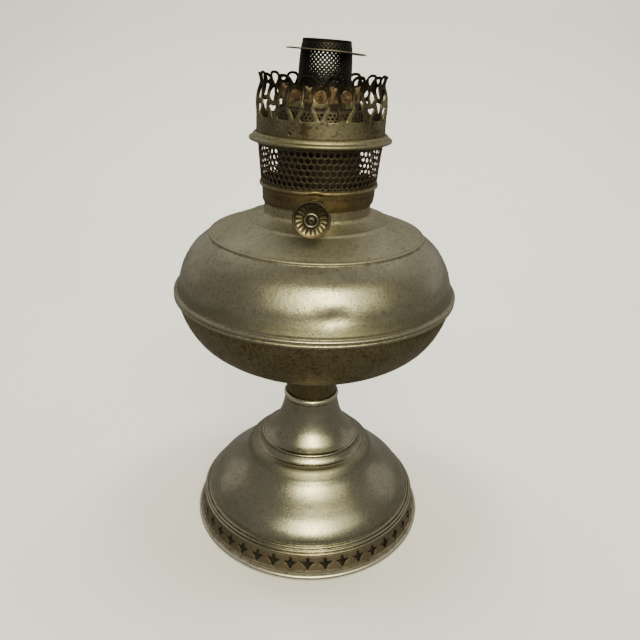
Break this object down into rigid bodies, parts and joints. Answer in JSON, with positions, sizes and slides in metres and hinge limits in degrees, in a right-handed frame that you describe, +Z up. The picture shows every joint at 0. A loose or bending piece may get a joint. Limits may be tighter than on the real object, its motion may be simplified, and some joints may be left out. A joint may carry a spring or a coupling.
{
  "type": "center draft kerosene lamp",
  "caption": "Table lamp with a domed pierced foot, round metal font, screw-in round-wick burner with raiser knob, lift-off openwork gallery and lift-out perforated flame spreader.",
  "frame": {"origin": "centre of the foot at table level", "axes": "+Z up along the lamp's axis, raiser knob towards -Y"},
  "size_m": [0.1658, 0.1658, 0.2945],
  "materials": {
    "worn_nickel": "worn nickel plate over brass, brown and pitted",
    "dark_nickel": "dark tarnished nickel plate over brass",
    "brown_brass": "dark brown tarnished brass",
    "sooty_brass": "sooty, tarnished brass",
    "rusty_steel": "rusty sheet steel",
    "black_steel": "heat-blackened sheet steel",
    "grey_steel": "dull, heat-stained sheet steel",
    "inner_brass": "dull brass",
    "wick_cotton": "woven cotton, charred at the top",
    "leather": "oiled leather",
    "graphite_packing": "graphited cord"
  },
  "bodies": {
    "reservoir": {"base_shell": "worn_nickel", "vent_strip": "worn_nickel", "foot_ring": "worn_nickel", "neck_band": "worn_nickel", "font_bowl": "dark_nickel", "font_top": "worn_nickel", "font_collar": "worn_nickel", "draft_tube": "inner_brass", "filler_neck": "inner_brass"},
    "burner_seal": {"burner_washer": "leather"},
    "burner": {"burner_shell": "brown_brass", "burner_floor": "inner_brass", "outer_wick_tube": "inner_brass", "deflector": "rusty_steel", "rack_guide": "inner_brass", "shaft_sleeve": "brown_brass", "packing_nut": "brown_brass", "shaft_packing": "graphite_packing"},
    "raiser": {"raiser_shaft": "grey_steel", "pinion": "inner_brass", "knob_face": "sooty_brass", "knob_back": "sooty_brass", "knob_rivet": "sooty_brass"},
    "wick_carriage": {"wick": "wick_cotton", "wick_carrier": "inner_brass", "carrier_arm": "inner_brass", "rack": "inner_brass"},
    "gallery": {"basket": "sooty_brass", "gallery_ring": "worn_nickel", "crown": "worn_nickel", "air_cone": "sooty_brass"},
    "spreader": {"thimble": "black_steel", "thimble_cap": "black_steel", "spreader_disc": "grey_steel", "spreader_base": "grey_steel"},
    "filler_seal": {"filler_washer": "leather"},
    "cap": {"filler_cap": "worn_nickel"}
  },
  "joints": [
    {"name": "burner_lift", "type": "slide", "parent": "reservoir", "child": "burner_seal", "axis": [0, 0, 1], "range_m": [0, 0.006]},
    {"name": "burner_turn", "type": "hinge", "parent": "burner_seal", "child": "burner", "pos_m": [0, 0, 0.208], "axis": [0, 0, 1], "range_deg": [0, 1080]},
    {"name": "gallery_lift", "type": "slide", "parent": "burner", "child": "gallery", "axis": [0, 0, 1], "range_m": [0, 0.05]},
    {"name": "spreader_lift", "type": "slide", "parent": "reservoir", "child": "spreader", "axis": [0, 0, 1], "range_m": [0, 0.04]},
    {"name": "knob_turn", "type": "hinge", "parent": "burner", "child": "raiser", "pos_m": [0, -0.04, 0.2146], "axis": [0, 1, 0], "range_deg": [-206.26, 68.75]},
    {"name": "wick_slide", "type": "slide", "parent": "burner", "child": "wick_carriage", "axis": [0, 0, 1], "range_m": [-0.018, 0.006]},
    {"name": "cap_lift", "type": "slide", "parent": "reservoir", "child": "filler_seal", "axis": [0, 0, 1], "range_m": [0, 0.004]},
    {"name": "cap_turn", "type": "hinge", "parent": "filler_seal", "child": "cap", "pos_m": [0, 0.0517, 0.202], "axis": [0, 0, 1], "range_deg": [0, 720]}
  ],
  "couplings": [
    {"joint": "burner_lift", "follows": "burner_turn", "m_per_rad": 0.00031831},
    {"joint": "wick_slide", "follows": "knob_turn", "m_per_rad": 0.005},
    {"joint": "cap_lift", "follows": "cap_turn", "m_per_rad": 0.00031831}
  ]
}
